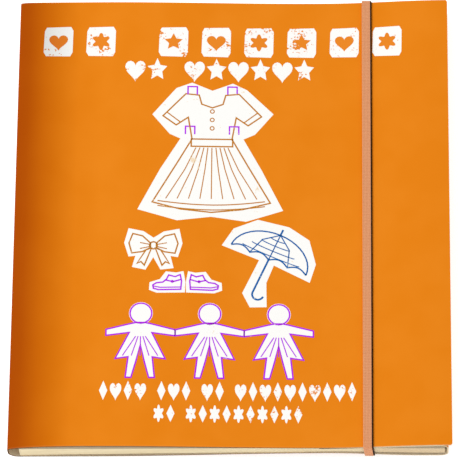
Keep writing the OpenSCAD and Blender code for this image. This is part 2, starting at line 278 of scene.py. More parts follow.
def cardRun():  # the card's outer face, flap's end to front cover's free edge, cut at the creases
    w = wallet
    bendX = w["foreX"] - w["foreBend"]
    flapLine = w["card"] + w["flapGap"]
    rollZ = w["thick"] - w["rollHeight"]
    spineMid = (creases["spine_hinge"].z + creases["cover_hinge"].z) / 2
    foreMid = (creases["fore_edge_hinge"].z + creases["flap_hinge"].z) / 2
    flapFoot = w["flapTop"] - w["foreBend"]
    free = w["width"] - w["cornerRadius"]
    flapXs = stretch(w["foreX"] - w["flapWidth"], bendX, w["step"])
    backXs = stretch(bendX, w["spineBend"], w["step"])
    frontXs = stretch(w["rollWidth"], free, w["step"]) + stretch(free, w["width"], w["cornerStep"])[1:]
    upright = lambda x, a, b: [(x, z) for z in stretch(a, b, w["stripStep"])]
    bend = lambda x, z, r, fromDeg, toDeg: arc(x, z, r, r, fromDeg, toDeg, w["bendSteps"])
    return {
        "innerFlap": [(x, lid(x) - flapLine) for x in flapXs]
        + bend(bendX, flapFoot, w["foreBend"], 90, 0)[1:],
        "foreEdgeUpper": upright(w["foreX"], flapFoot, foreMid),
        "foreEdgeLower": upright(w["foreX"], foreMid, w["foreBend"]),
        "backCover": bend(bendX, w["foreBend"], w["foreBend"], 0, -90) + [(x, arch(x)) for x in backXs[1:]]
        + bend(w["spineBend"], w["spineBend"], w["spineBend"], 270, 180)[1:],
        "spineLower": upright(0, w["spineBend"], spineMid),
        "spineUpper": upright(0, spineMid, rollZ),
        "frontCover": arc(w["rollWidth"], rollZ, w["rollWidth"], w["rollHeight"], 180, 90, w["rollSteps"])
        + [(x, lid(x)) for x in frontXs[1:]],
    }


def halfHeight(piece, x):  # the front cover's free corners are round
    r = wallet["cornerRadius"]
    past = x - (wallet["width"] - r)
    if piece != "frontCover" or past <= 0:
        return wallet["height"] / 2
    return wallet["height"] / 2 - r + math.sqrt(max(0, r * r - past * past))


def rollLift(piece, x, share):  # the roll over the spine is squarer towards the top edge
    inward = (wallet["rollWidth"] - x) / wallet["rollWidth"]
    if piece != "frontCover" or inward <= 0:
        return 0
    power = wallet["rollSquare"]
    full = (1 - inward ** power) ** (1 / power) - math.sqrt(1 - inward ** 2)
    return wallet["rollHeight"] * full * ease(share)


def outward(points, i):
    before, after = points[max(i - 1, 0)], points[min(i + 1, len(points) - 1)]
    dx, dz = after[0] - before[0], after[1] - before[1]
    size = math.hypot(dx, dz)
    return -dz / size, dx / size


def placed(name, data):
    made = bpy.data.objects.new(name, data)
    scene.collection.objects.link(made)
    return made


def loose(name, bm):
    mesh = bpy.data.meshes.new(name)
    bm.to_mesh(mesh)
    bm.free()
    return placed(name, mesh)


def welded(bm):
    bmesh.ops.remove_doubles(bm, verts=bm.verts, dist=tiny)
    bmesh.ops.recalc_face_normals(bm, faces=bm.faces)
    return bm


def meshObject(name, bm, *slots):
    made = loose(name, welded(bm))
    for slot in slots:
        made.data.materials.append(materials[slot])
    return made


def cardPiece(name, points, normals):
    bm = bmesh.new()
    rows = wallet["rows"]
    layers = []
    for depth in (0, wallet["card"]):  # outer face, then inner face
        grid = []
        for (x, z), (nx, nz) in zip(points, normals):
            half = halfHeight(name, x)
            px, pz = (x - nx * depth - wallet["width"] / 2) * mm, z - nz * depth
            column = [(px, half * (2 * j / rows - 1) * mm, (pz + rollLift(name, x, j / rows)) * mm)
                      for j in range(rows + 1)]
            grid.append([bm.verts.new(spot) for spot in column])
        layers.append(grid)
    outer, inner = layers
    last = len(points) - 1
    for i in range(last):
        for j in range(rows):
            for grid, slot in ((outer, 0), (inner, 1)):
                face = bm.faces.new((grid[i][j], grid[i + 1][j], grid[i + 1][j + 1], grid[i][j + 1]))
                face.material_index = slot
        for j in (0, rows):
            bm.faces.new((outer[i][j], outer[i + 1][j], inner[i + 1][j], inner[i][j])).material_index = 2
    for i in (0, last):
        for j in range(rows):
            bm.faces.new((outer[i][j], outer[i][j + 1], inner[i][j + 1], inner[i][j])).material_index = 2
    made = meshObject(name, bm, "board", "lining", "cutBoard")
    made.data.shade_smooth()
    made.data.set_sharp_from_angle(angle=math.radians(wallet["sharpDeg"]))
    return made


def makeWallet():
    runs = cardRun()
    whole = [p for points in runs.values() for p in points[:-1]] + [runs["frontCover"][-1]]
    normals = [outward(whole, i) for i in range(len(whole))]
    pieces, start = {}, 0
    for name, points in runs.items():
        end = start + len(points)
        pieces[name] = cardPiece(name, points, normals[start:end])
        start = end - 1
    for name, body, node in (("innerFlap", "flap", "inner_flap"), ("backCover", "back", "back_cover"),
                             ("frontCover", "front", "front_cover")):
        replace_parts(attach(pieces[name], body), node)
    for name, first, second, joint, node in (
            ("spineLower", "back", "spine", "spine_hinge", "spine_strip"),
            ("spineUpper", "spine", "front", "cover_hinge", "spine_strip"),
            ("foreEdgeLower", "back", "fore_edge", "fore_edge_hinge", "fore_edge_strip"),
            ("foreEdgeUpper", "fore_edge", "flap", "flap_hinge", "fore_edge_strip")):
        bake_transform(pieces[name])
        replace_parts(pieces[name], node)
    return pieces


card = makeWallet()
print("wallet pieces:", sorted(card))


def newTree(name, sockets):  # a geometry node tree with named inputs
    tree = bpy.data.node_groups.new(name, "GeometryNodeTree")
    tree.interface.new_socket("Geometry", in_out="INPUT", socket_type="NodeSocketGeometry")
    for socket, kind in sockets.items():
        tree.interface.new_socket(socket, in_out="INPUT", socket_type="NodeSocket" + kind)
    tree.interface.new_socket("Geometry", in_out="OUTPUT", socket_type="NodeSocketGeometry")
    return tree, tree.nodes.new("NodeGroupInput").outputs


def endTree(tree, geometry, material, second=None, where=None):  # a second material on the chosen faces
    real = addNode(tree, "RealizeInstances", {0: geometry})
    painted = addNode(tree, "SetMaterial", {"Geometry": real, "Material": material})
    if second:
        painted = addNode(tree, "SetMaterial", {
            "Geometry": painted, "Selection": where, "Material": second})
    addNode(tree, "NodeGroupOutput", {0: painted})


def grown(source, tree, values, name):  # runs a tree on an object and keeps the result as a plain mesh
    modifier = source.modifiers.new("grow", "NODES")
    modifier.node_group = tree
    for item in tree.interface.items_tree:
        if item.name in values:
            modifier[item.identifier] = values[item.name]
    graph = bpy.context.evaluated_depsgraph_get()
    mesh = bpy.data.meshes.new_from_object(source.evaluated_get(graph), depsgraph=graph)
    bpy.data.objects.remove(source)
    mesh.name = name
    return placed(name, mesh)


dropRay = {"above": 50, "length": 200, "missed": 0.001}  # mm; artwork below the last missed the card


def printTree():  # drops flat artwork onto a card or sheet and makes it a closed film of ink
    tree, given = newTree("printOn", {"Card": "Object", "Lift": "Float", "Ink": "Material"})
    target = addNode(tree, "ObjectInfo", {"Object": given["Card"]}, transform_space="RELATIVE")
    here = addNode(tree, "InputPosition")
    above = addNode(tree, "VectorMath", {0: here, 1: (0, 0, dropRay["above"] * mm)}, operation="ADD")
    hit = addNode(tree, "Raycast", {
        "Target Geometry": target.outputs["Geometry"], "Source Position": above,
        "Ray Direction": (0, 0, -1), "Ray Length": dropRay["length"] * mm}).outputs
    laid = addNode(tree, "SetPosition", {
        "Geometry": given["Geometry"], "Selection": hit["Is Hit"], "Position": hit["Hit Position"]})
    height = addNode(tree, "SeparateXYZ", {0: here}).outputs[2]
    missed = addNode(tree, "Math", {0: height, 1: dropRay["missed"] * mm}, operation="LESS_THAN")
    under = addNode(tree, "DeleteGeometry", {"Geometry": laid, "Selection": missed})
    film = addNode(tree, "ExtrudeMesh", {
        "Mesh": under, "Offset": (0, 0, 1), "Offset Scale": given["Lift"], "Individual": False})
    back = addNode(tree, "FlipFaces", {"Mesh": under})
    joined = addNode(tree, "JoinGeometry", {"Geometry": film.outputs["Mesh"]})
    tree.links.new(back.outputs[0], joined.inputs["Geometry"])
    closed = addNode(tree, "MergeByDistance", {"Geometry": joined, "Distance": tiny})
    endTree(tree, closed, given["Ink"])
    return tree


def fill(bm, points):  # flat filled shape, points in mm
    bm.faces.new([bm.verts.new((x * mm, y * mm, 0)) for x, y in points])


turnedBack, sharpest = 0.2, 0.5  # where a stroke doubles back, and how sharp its corners may be


def line(bm, points, width, closed=False):  # flat stroke of even width along points in mm
    count = len(points)
    sides = []
    for i, (x, y) in enumerate(points):
        before = points[i - 1] if closed or i else points[0]
        after = points[(i + 1) % count] if closed or i < count - 1 else points[-1]
        a = Vector((x - before[0], y - before[1])).normalized() if before != (x, y) else None
        b = Vector((after[0] - x, after[1] - y)).normalized() if after != (x, y) else None
        a, b = a or b, b or a
        across = Vector((-a.y - b.y, a.x + b.x))
        across = across.normalized() if across.length > turnedBack else Vector((-a.y, a.x))
        across *= width / 2 / max(sharpest, across.dot(Vector((-a.y, a.x))))
        sides.append([bm.verts.new(((x + s * across.x) * mm, (y + s * across.y) * mm, 0)) for s in (1, -1)])
    for i in range(count if closed else count - 1):
        (a, b), (c, d) = sides[i], sides[(i + 1) % count]
        bm.faces.new((a, b, d, c))


def moved(points, cx, cy, size=1.0, turnDeg=0.0):
    c, s = math.cos(math.radians(turnDeg)) * size, math.sin(math.radians(turnDeg)) * size
    return [(cx + x * c - y * s, cy + x * s + y * c) for x, y in points]


def onSide(points, side):  # side -1 is the mirror image
    return [(side * x, y) for x, y in points]


def mirrored(half):  # closes a right half over the middle line
    return half + [(-x, y) for x, y in reversed(half) if x > tiny]


def polar(radius, count):  # outline from a radius as a function of the angle
    angles = [2 * math.pi * i / count for i in range(count)]
    return [(radius(a) * math.sin(a), radius(a) * math.cos(a)) for a in angles]


def ring(radius, count):
    return polar(lambda a: radius, count)


def heartShape(count=28):
    ts = [2 * math.pi * i / count for i in range(count)]
    rise = lambda t: 13 * math.cos(t) - 5 * math.cos(2 * t) - 2 * math.cos(3 * t) - math.cos(4 * t)
    return [(math.sin(t) ** 3, rise(t) / 16) for t in ts]


shapes = {  # ornaments within a circle of radius 1
    "heart": heartShape(),
    "star": polar(lambda a: 1 if round(a / (math.pi / 5)) % 2 == 0 else 0.5, 10),
    "flower": polar(lambda a: 0.8 + 0.2 * math.cos(6 * a), 60),
    "diamond": [(0, 1), (0.72, 0), (0, -1), (-0.72, 0)],
    "slab": [(-0.82, 0.7), (-0.7, 0.96), (0.72, 1), (0.86, 0.74), (0.84, -0.72), (0.7, -1), (-0.72, -0.97),
             (-0.86, -0.7)],
}
print("ornaments:", sorted(shapes))
inkThick = {"white": 0.03, "patch": 0.03, "ground": 0.06, "purple": 0.06, "brown": 0.06, "blue": 0.06}
printed = {color: bmesh.new() for color in inkThick}
ornamentRows = [  # middle height, ends, half height, places in each group, and the motifs in turn
    {"y": 97, "ends": (-98, 87.5), "size": 8.2, "groups": (2, 6), "motifs": ("heart", "flower", "star"),
     "onSlabs": True},
    {"y": 81.5, "ends": (-54, 41), "size": 6.4, "groups": (2, 6), "motifs": ("heart", "star")},
    {"y": -90.3, "ends": (-64, 62), "size": 5.0, "groups": (4, 3, 2, 10), "motifs": ("diamond", "heart")},
    {"y": -102, "ends": (-37, 36), "size": 4.5, "groups": (2, 10), "motifs": ("flower", "diamond")},
]
rowShare = {"gap": 0.7, "motif": 0.47, "slab": 0.4, "onSlab": 0.58}  # of the pitch, the last of the motif


def printRow(row):
    groups, motifs, y = row["groups"], row["motifs"], row["y"]
    left, right = row["ends"]
    pitch = (right - left) / (sum(groups) + rowShare["gap"] * (len(groups) - 1))
    size = min(row["size"], pitch * rowShare["motif"])
    tall = lambda shape, wide: [(x + px * wide, y + py * row["size"]) for px, py in shape]
    x = left + pitch / 2
    index = 0
    for group in groups:
        for _ in range(group):
            motif = shapes[motifs[index % len(motifs)]]
            if "onSlabs" in row:
                fill(printed["white"], tall(shapes["slab"], pitch * rowShare["slab"]))
                fill(printed["ground"], moved(motif, x, y, size * rowShare["onSlab"]))
            else:
                fill(printed["white"], tall(motif, size))
            x += pitch
            index += 1
        x += rowShare["gap"] * pitch


for row in ornamentRows:
    printRow(row)

pen = 0.72  # line width in mm
thinPen, finePen, boldPen = pen * 0.8, pen * 0.7, pen * 1.3
both = (-1, 1)  # a shape and its mirror image


def snipped(outline, seed, slack=0.05):  # paper cut round in straight, careless snips
    chance = random.Random(seed)
    return [(x * chance.uniform(1, 1 + slack), y * chance.uniform(1, 1 + slack)) for x, y in outline]


def artTools(inks, cx=0, cy=0, size=1, turnDeg=0, side=1):  # fills and strokes in a drawing's own units
    def laid(points, way):
        return moved(onSide(points, way * side), cx, cy, size, turnDeg)

    def paint(ink, points, sides=(1,)):
        for way in sides:
            fill(inks[ink], laid(points, way))

    def stroke(ink, points, width, closed=False, sides=(1,)):
        for way in sides:
            line(inks[ink], laid(points, way), width, closed)

    return paint, stroke


def drawDoll(paint, stroke):  # plain paper chain figure
    body = mirrored([
        (0, -0.1), (0.1, -0.55), (0.22, -1), (0.36, -1), (0.3, -0.45), (0.62, -0.5), (0.28, 0.2),
        (0.86, 0.12), (0.86, 0.28), (0.24, 0.44), (0.1, 0.47)])
    paint("patch", moved(ring(0.3, 20), 0, 0.72))
    paint("patch", body)
    stroke("purple", body, pen, True)
    stroke("purple", moved(ring(0.27, 24), 0, 0.72), pen, True)
    for k in range(-2, 3):  # pleats
        stroke("purple", [(0.06 * k, 0.1), (0.22 * k, -0.42)], finePen)


def drawDress(paint, stroke):
    paint("patch", snipped(mirrored([
        (0, 1.0), (0.3, 1.12), (0.52, 1.0), (0.88, 0.6), (0.62, 0.28), (0.46, 0.2), (0.74, -0.3),
        (1.06, -0.92), (0.5, -1.1), (0, -1.06)]), 4))
    stroke("brown", mirrored([
        (0, 0.72), (0.16, 0.78), (0.2, 0.93), (0.4, 0.95), (0.74, 0.58), (0.54, 0.43), (0.36, 0.56),
        (0.3, 0.2), (0.52, -0.2), (0.88, -0.84), (0.46, -0.95), (0, -1)]), pen, True)
    stroke("brown", mirrored([(0.31, 0.08), (0.31, 0.2)]), pen, True)  # belt
    for k in range(-4, 5):  # pleats
        stroke("brown", [(0.06 * k, 0.06), (0.1 * k, -0.3), (0.17 * k, -0.78)], finePen)
    for drop in (0.78, 0.86):  # hem
        stroke("brown", [(x / 10, -drop - 0.1 * math.cos(x / 10 * 1.5)) for x in range(-8, 9)], thinPen)
    for y in (0.66, 0.52, 0.38):  # buttons
        stroke("brown", moved(ring(0.03, 10), 0, y), finePen, True)
    tab = [(-0.07, 0), (-0.07, 0.13), (0.07, 0.13), (0.07, 0)]
    for x, y in ((0.3, 0.94), (0.33, 0.28)):
        stroke("purple", moved(tab, x, y), pen, sides=both)
    stroke("brown", [(0.48, 0.48), (0.68, 0.64)], thinPen, sides=both)  # cuffs


def drawUmbrella(paint, stroke):
    rim = [(2 * i / 32 - 1, 0.16 + 0.1 * abs(math.sin(math.pi * 4 * i / 32))) for i in range(33)]
    paint("patch", snipped([
        (1.14, 0.02), (1.1, 0.5), (0.7, 1.02), (0.1, 1.16), (-0.66, 1.0), (-1.12, 0.56), (-1.16, 0.04),
        (-0.2, 0.06), (-0.22, -0.9), (0.1, -1.12), (0.46, -0.96), (0.2, -0.4), (0.18, 0.08)], 9))
    stroke("blue", arc(0, 0.16, 1, 0.72, 0, 180, 20), pen)
    stroke("blue", rim, pen)
    for x in (-0.5, 0, 0.5):  # ribs
        stroke("blue", [(x, 0.18), (x * 0.72, 0.6), (0, 0.88)], thinPen)
    for k in range(1, 5):  # stripes
        stroke("blue", arc(0, 0.88 - 0.145 * k, 0.19 * k, 0.03, 180, 360, 9), finePen)
    stroke("blue", [(0, 0.2), (0, -0.5)] + arc(0.14, -0.78, 0.14, 0.14, 180, 360, 9), boldPen)  # stick
    stroke("blue", [(0, 0.88), (0, 1.04)], boldPen)


def drawShoe(paint, stroke):
    paint("patch", snipped([
        (-1.2, -0.66), (0.7, -0.72), (1.26, -0.5), (1.2, 0.06), (0.5, 0.3), (0.1, 0.86), (-0.6, 0.8),
        (-1.1, 0.9), (-1.26, 0.1)], 6))
    stroke("purple", [
        (-0.95, -0.45), (0.6, -0.5), (0.95, -0.4), (1, -0.15), (0.75, 0.02), (0.3, 0.08), (0.05, 0.3),
        (-0.1, 0.62), (-0.55, 0.5), (-0.9, 0.66), (-1, 0.2)], pen, True)
    stroke("purple", [(-0.95, -0.28), (0.5, -0.32), (0.98, -0.22)], thinPen)  # sole
    stroke("purple", [(-0.98, 0.3), (-0.4, 0.12), (0.12, 0.24)], pen)  # strap
    stroke("purple", moved(ring(0.07, 10), -0.35, 0.14), thinPen, True)


def drawBow(paint, stroke):
    loop = [(0.12, 0.1), (0.45, 0.42), (0.85, 0.52), (1, 0.1), (0.88, -0.34), (0.45, -0.28), (0.12, -0.1)]
    tail = [(0.08, -0.12), (0.36, -0.88), (0.5, -0.72), (0.66, -0.8), (0.3, -0.2)]
    paint("patch", snipped(mirrored([
        (0, 0.34), (0.4, 0.62), (1.02, 0.74), (1.18, 0.1), (1.0, -0.5), (0.7, -0.46), (0.82, -0.96),
        (0.3, -1.06), (0, -0.5)]), 7))
    for part in (loop, tail):
        stroke("brown", part, pen, True, both)
    for y in (0.05, -0.06):  # gathers
        stroke("brown", [(0.18, y), (0.55, y * 2.4)], finePen, sides=both)
    stroke("brown", ring(0.16, 14), pen, True)


picture = {  # middle, size, turn and side of each copy of a drawing
    drawDress: [(-10, 37, 33)], drawUmbrella: [(17, -24, 20, -24)], drawBow: [(-38, -14, 12)],
    drawShoe: [(-31, -34, 7, 0, -1), (-13, -34, 7)],
    drawDoll: [(x, -64, 19.5) for x in (-43.5, -10, 23.5)],
}
for draw, copies in picture.items():
    for place in copies:
        draw(*artTools(printed, *place))


def flatArt(name, bm, facetMm=4):  # cuts artwork at even places so that it can follow a curved card
    limit = wallet["width"] / 2
    for x in stretch(-limit, limit, facetMm)[1:-1]:
        everything = bm.verts[:] + bm.edges[:] + bm.faces[:]
        bmesh.ops.bisect_plane(bm, geom=everything, plane_co=(x * mm, 0, 0), plane_no=(1, 0, 0), dist=tiny)
    bmesh.ops.triangulate(bm, faces=bm.faces)
    bm.normal_update()
    for face in bm.faces:
        if face.normal.z < 0:
            face.normal_flip()
    return loose(name, bm)


onCard = printTree()


def printOn(name, bm, target, liftMm, ink, body, facetMm=4):
    flat = flatArt(name + "Art", bm, facetMm)
    art = grown(flat, onCard, {"Card": target, "Lift": liftMm * mm, "Ink": materials[ink]}, name)
    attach(art, body)


for color, bm in printed.items():
    name = "coverPrint" + color.capitalize()
    printOn(name, bm, card["frontCover"], inkThick[color], color, "front")
print("cover printed")

sheets = {
    "count": 14, "left": 5.6, "run": 204.9, "half": 118.5, "gap": 0.04, "foot": 0.75,
    "spread": 0.6, "pitch": 0.25, "thin": 0.2, "slope": 0.0246207,
    "droopFrom": 153, "droopLow": 3.5, "droopHigh": 1.2, "facets": {"X": 60, "Y": 9, "Z": 3},
}


def sheetTree():  # a wedge of sheets: low and high corners at the spine and at the fore edge
    names = ("Left", "Right", "Length", "LeftLow", "LeftHigh", "RightLow", "RightHigh",
             "DroopFrom", "DroopLow", "DroopHigh")
    inputs = {**dict.fromkeys(names, "Float"), "Paper": "Material", "Edge": "Material"}
    tree, given = newTree("sheetBundle", inputs)
    facets = {"Vertices " + axis: count for axis, count in sheets["facets"].items()}
    block = addNode(tree, "MeshCube", {"Size": (1, 1, 1), **facets})
    here = addNode(tree, "InputPosition")
    x, y, z = addNode(tree, "SeparateXYZ", {0: here}).outputs
    over, up = (addNode(tree, "Math", {0: way, 1: 0.5}, operation="ADD") for way in (x, z))
    mixed = {}
    for name, share, low, high in (
            ("left", up, "LeftLow", "LeftHigh"), ("right", up, "RightLow", "RightHigh"),
            ("droop", up, "DroopLow", "DroopHigh"), ("across", over, "Left", "Right")):
        mixed[name] = addNode(tree, "Mix", {0: share, 2: given[low], 3: given[high]})
    long = addNode(tree, "Math", {0: y, 1: given["Length"]}, operation="MULTIPLY")
    past = addNode(tree, "MapRange", {0: mixed["across"], 1: given["DroopFrom"], 2: given["Right"]},
                   interpolation_type="SMOOTHSTEP")
    droop = addNode(tree, "Math", {0: mixed["droop"], 1: past}, operation="MULTIPLY")
    flat = addNode(tree, "Mix", {0: over, 2: mixed["left"], 3: mixed["right"]})
    height = addNode(tree, "Math", {0: flat, 1: droop}, operation="SUBTRACT")
    place = addNode(tree, "CombineXYZ", {0: mixed["across"], 1: long, 2: height})
    shaped = addNode(tree, "SetPosition", {"Geometry": block, "Position": place})
    facing = addNode(tree, "SeparateXYZ", {0: addNode(tree, "InputNormal")}).outputs[2]
    steep = addNode(tree, "Math", {0: facing}, operation="ABSOLUTE")
    side = addNode(tree, "Math", {0: steep, 1: 0.5}, operation="LESS_THAN")
    endTree(tree, shaped, given["Paper"], given["Edge"], side)
    return tree


def makeSheets():
    tree = sheetTree()
    made = []
    s = sheets
    last = s["count"] - 1
    droop = lambda k: s["droopLow"] + (s["droopHigh"] - s["droopLow"]) * k / last
    left = s["left"] - wallet["width"] / 2
    for k in range(s["count"]):
        number = f"{k + 1:02d}"
        low = (s["foot"] + k * s["spread"], s["foot"] + s["slope"] * s["run"] + k * s["pitch"])
        thick = (s["thin"],) * 2 if k == last else (s["spread"] - s["gap"], s["pitch"] - s["gap"])
        sizes = {
            "Left": left, "Right": left + s["run"], "Length": 2 * s["half"],
            "LeftLow": low[0], "LeftHigh": low[0] + thick[0],
            "RightLow": low[1], "RightHigh": low[1] + thick[1],
            "DroopFrom": s["droopFrom"] - wallet["width"] / 2,
            "DroopLow": droop(k), "DroopHigh": droop(min(k + 1, last)),
        }
        values = {name: size * mm for name, size in sizes.items()}
        values.update({"Paper": materials["sheet"], "Edge": materials["sheetEdge"]})
        source = placed("sheetSource", bpy.data.meshes.new("sheetSource"))
        sheet = grown(source, tree, values, "sheet" + number)
        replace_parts(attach(sheet, "sheet_" + number), "leaf_" + number)
        made.append(sheet)
    return made


pages = makeSheets()
print("sheets:", len(pages))

garments = {  # about one unit high, as right halves which are mirrored over the middle line
    "coat": {
        "half": [(0, 0.84), (0.13, 0.9), (0.14, 1.05), (0.3, 1.05), (0.31, 0.88), (0.52, 0.74), (0.82, 0.1),
                 (0.6, 0), (0.44, 0.36), (0.4, 0.08), (0.62, -0.94), (0, -1)],
        "lines": [[(0, 0.84), (0, -1)], [(0, 0.4), (0.22, 0.62), (0.13, 0.9)],
                  [(0.18, -0.3), (0.18, -0.5), (0.44, -0.52), (0.42, -0.32)], [(0.18, -0.3), (0.42, -0.32)],
                  [(0.59, 0.14), (0.78, 0.24)]],
        "buttons": [(0.1, 0.24), (0.1, 0), (0.1, -0.24)],
    },
    "skirt": {
        "half": [(0, 0.62), (0.14, 0.62), (0.14, 0.8), (0.3, 0.8), (0.3, 0.62), (0.4, 0.6), (0.86, -0.62),
                 (0.45, -0.74), (0, -0.78)],
        "lines": [[(0, 0.46), (0.43, 0.44)], [(0, 0.44), (0, -0.78)], [(0.14, 0.44), (0.26, -0.76)],
                  [(0.28, 0.44), (0.54, -0.72)], [(0, -0.62), (0.42, -0.58), (0.8, -0.48)]],
        "buttons": [],
    },
    "blouse": {
        "half": [(0, 0.46), (0.14, 0.56), (0.16, 0.74), (0.32, 0.74), (0.34, 0.56), (0.8, 0.22),
                 (0.62, -0.04), (0.4, 0.12), (0.38, -0.62), (0, -0.66)],
        "lines": [[(0, 0.46), (0, -0.66)], [(0, 0.46), (0.16, 0.3), (0.26, 0.6)],
                  [(0.58, 0.04), (0.74, 0.28)], [(0, -0.54), (0.38, -0.5)]],
        "buttons": [(0.07, 0.2), (0.07, -0.04), (0.07, -0.28)],
    },
    "trousers": {
        "half": [(0.02, -0.02), (0.08, -0.94), (0.44, -0.94), (0.4, 0.66), (0.26, 0.68), (0.26, 0.84),
                 (0.1, 0.84), (0.1, 0.68), (0, 0.68)],
        "lines": [[(0, 0.54), (0.4, 0.52)], [(0, 0.68), (0, -0.02)],
                  [(0.16, 0.5), (0.22, 0.3), (0.4, 0.22)], [(0.09, -0.82), (0.44, -0.82)]],
        "buttons": [(0.07, 0.6)],
    },
    "boater": {
        "half": [(0, -0.34), (0.7, -0.3), (1, -0.2), (0.9, -0.06), (0.5, -0.02), (0.46, 0.36), (0.3, 0.46),
                 (0, 0.48)],
        "lines": [[(0, 0.14), (0.48, 0.16)], [(0, -0.06), (0.5, -0.02)],
                  [(0, -0.2), (0.6, -0.18), (0.92, -0.14)]],
        "buttons": [],
    },
    "bag": {
        "half": [(0, -0.6), (0.5, -0.58), (0.64, -0.46), (0.62, 0.18), (0.3, 0.22), (0.26, 0.6),
                 (0.12, 0.74), (0, 0.76)],
        "lines": [[(0, -0.22), (0.3, -0.1), (0.62, 0.16)], [(0.16, 0.22), (0.14, 0.5), (0, 0.6)]],
        "buttons": [(0.03, -0.3)],
    },
}
clothes = ("coat", "skirt", "blouse", "trousers")
extras = ("boater", "bag")
sheetPlaces = [  # middle and size of the drawings on one sheet, and what takes its turn there
    {"x": -50, "y": 58, "size": 44, "kinds": clothes}, {"x": 44, "y": 62, "size": 38, "kinds": clothes},
    {"x": -54, "y": -46, "size": 36, "kinds": clothes}, {"x": 40, "y": -36, "size": 40, "kinds": clothes},
    {"x": -4, "y": -6, "size": 17, "kinds": extras}, {"x": -8, "y": -92, "size": 19, "kinds": extras},
]
sheetPen = {"outline": 0.85, "inner": 0.68, "button": 0.595, "thick": 0.015, "facet": 12}
cutDash = {"pitch": 4.4, "long": 2.6, "wide": 0.5, "clear": 4.4}


def grownOut(points, distance):  # moves a closed outline outwards
    out = []
    for i, (x, y) in enumerate(points):
        (ax, ay), (bx, by) = points[i - 1], points[(i + 1) % len(points)]
        size = math.hypot(bx - ax, by - ay)
        out.append((x + distance * (by - ay) / size, y - distance * (bx - ax) / size))
    area = sum(a[0] * b[1] - b[0] * a[1] for a, b in zip(points, points[1:] + points[:1]))
    return out if area > 0 else grownOut(points[::-1], distance)


def drawGarment(ink, cuts, garment, spot):
    paint, stroke = artTools({"ink": ink, "cut": cuts}, spot["x"], spot["y"], spot["size"])
    outline = mirrored(garment["half"])
    stroke("ink", outline, sheetPen["outline"], True)
    paint("cut", grownOut(outline, cutDash["clear"] / spot["size"]))
    for points in garment["lines"]:
        stroke("ink", points, sheetPen["inner"], sides=both if any(x for x, y in points) else (1,))
    for x, y in garment["buttons"]:
        stroke("ink", moved(ring(0.035, 10), x, y), sheetPen["button"], True)


def dashTree():  # short dashes along the edges of flat shapes, where the scissors go
    inputs = {"Pitch": "Float", "Long": "Float", "Wide": "Float", "Ink": "Material"}
    tree, given = newTree("cutLine", inputs)
    edge = addNode(tree, "MeshToCurve", {"Mesh": given["Geometry"]})
    even = addNode(tree, "ResampleCurve", {"Curve": edge, "Length": given["Pitch"]}, mode="LENGTH")
    dash = addNode(tree, "MeshGrid", {
        "Size X": given["Long"], "Size Y": given["Wide"], "Vertices X": 2, "Vertices Y": 2})
    way = addNode(tree, "InputTangent")
    turn = addNode(tree, "FunctionNodeAlignRotationToVector", {"Vector": way}, axis="X", pivot_axis="Z")
    dashes = addNode(tree, "InstanceOnPoints", {"Points": even, "Instance": dash, "Rotation": turn})
    endTree(tree, dashes, given["Ink"])
    return tree


def drawSheets():
    tree = dashTree()
    values = {n.capitalize(): cutDash[n] * mm for n in ("pitch", "long", "wide")}
    values["Ink"] = materials["drawing"]
    for k, page in enumerate(pages):
        ink, cuts = bmesh.new(), bmesh.new()
        for i, spot in enumerate(sheetPlaces):
            kind = spot["kinds"][(k + i) % len(spot["kinds"])]
            if page is not pages[-1] or spot["y"] > 0:  # the doll stands on the lower half of the top sheet
                drawGarment(ink, cuts, garments[kind], spot)
        dashes = grown(loose("cutShapes", cuts), tree, values, "dashes")
        ink.from_mesh(dashes.data)
        bpy.data.objects.remove(dashes)
        number = f"{k + 1:02d}"
        printOn("sheetDrawing" + number, ink, page, sheetPen["thick"], "drawing", "sheet_" + number,
                sheetPen["facet"])


drawSheets()
print("sheets drawn on")

band = {
    "x": 66.4, "width": 4.2, "thick": 1.0, "corner": 1.0, "cornerSteps": 6, "slant": 0.8,
    "ribs": 6, "ribDepth": 0.16, "ribStep": 0.1, "rim": 0.2, "chamfer": 0.25,
    # the dark thread along the band's right edge is painted shadow
    "thread": 0.75, "threadLap": 0.05,
}


def bandTree():
    tree, given = newTree("elasticLoop", {"Section": "Object", "Weave": "Material"})
    section = addNode(tree, "ObjectInfo", {"Object": given["Section"]}, transform_space="ORIGINAL")
    steady = addNode(tree, "SetCurveNormal", {"Curve": given["Geometry"], "Normal": (1, 0, 0)},
                     mode="FREE")
    swept = addNode(tree, "CurveToMesh", {
        "Curve": steady, "Profile Curve": section.outputs["Geometry"], "Fill Caps": False})
    smooth = addNode(tree, "SetShadeSmooth", {"Geometry": swept})
    endTree(tree, smooth, given["Weave"])
    return tree


def polyCurve(name, points):
    data = bpy.data.curves.new(name, "CURVE")
    data.dimensions = "3D"
    spline = data.splines.new("POLY")
    spline.points.add(len(points) - 1)
    for point, place in zip(spline.points, points):
        point.co = (*place, 1)
    spline.use_cyclic_u = True
    return placed(name, data)


def bandLoop():
    b = band
    low, high = (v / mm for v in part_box("elastic_band"))
    inset, r = b["thick"] / 2, b["corner"]
    y0, y1, z0, z1 = low.y + inset, high.y - inset, low.z + inset, high.z - inset
    aside = lambda y, z: b["slant"] * (y1 - y) / (y1 - y0) * (z1 - z) / (z1 - z0)
    loop = []
    corners = ((y1 - r, z1 - r), (y0 + r, z1 - r), (y0 + r, z0 + r), (y1 - r, z0 + r))
    for i, (y, z) in enumerate(corners):
        loop += arc(y, z, r, r, 90 * i, 90 * i + 90, b["cornerSteps"])
    return [((b["x"] + aside(y, z)) * mm, y * mm, z * mm) for y, z in loop]


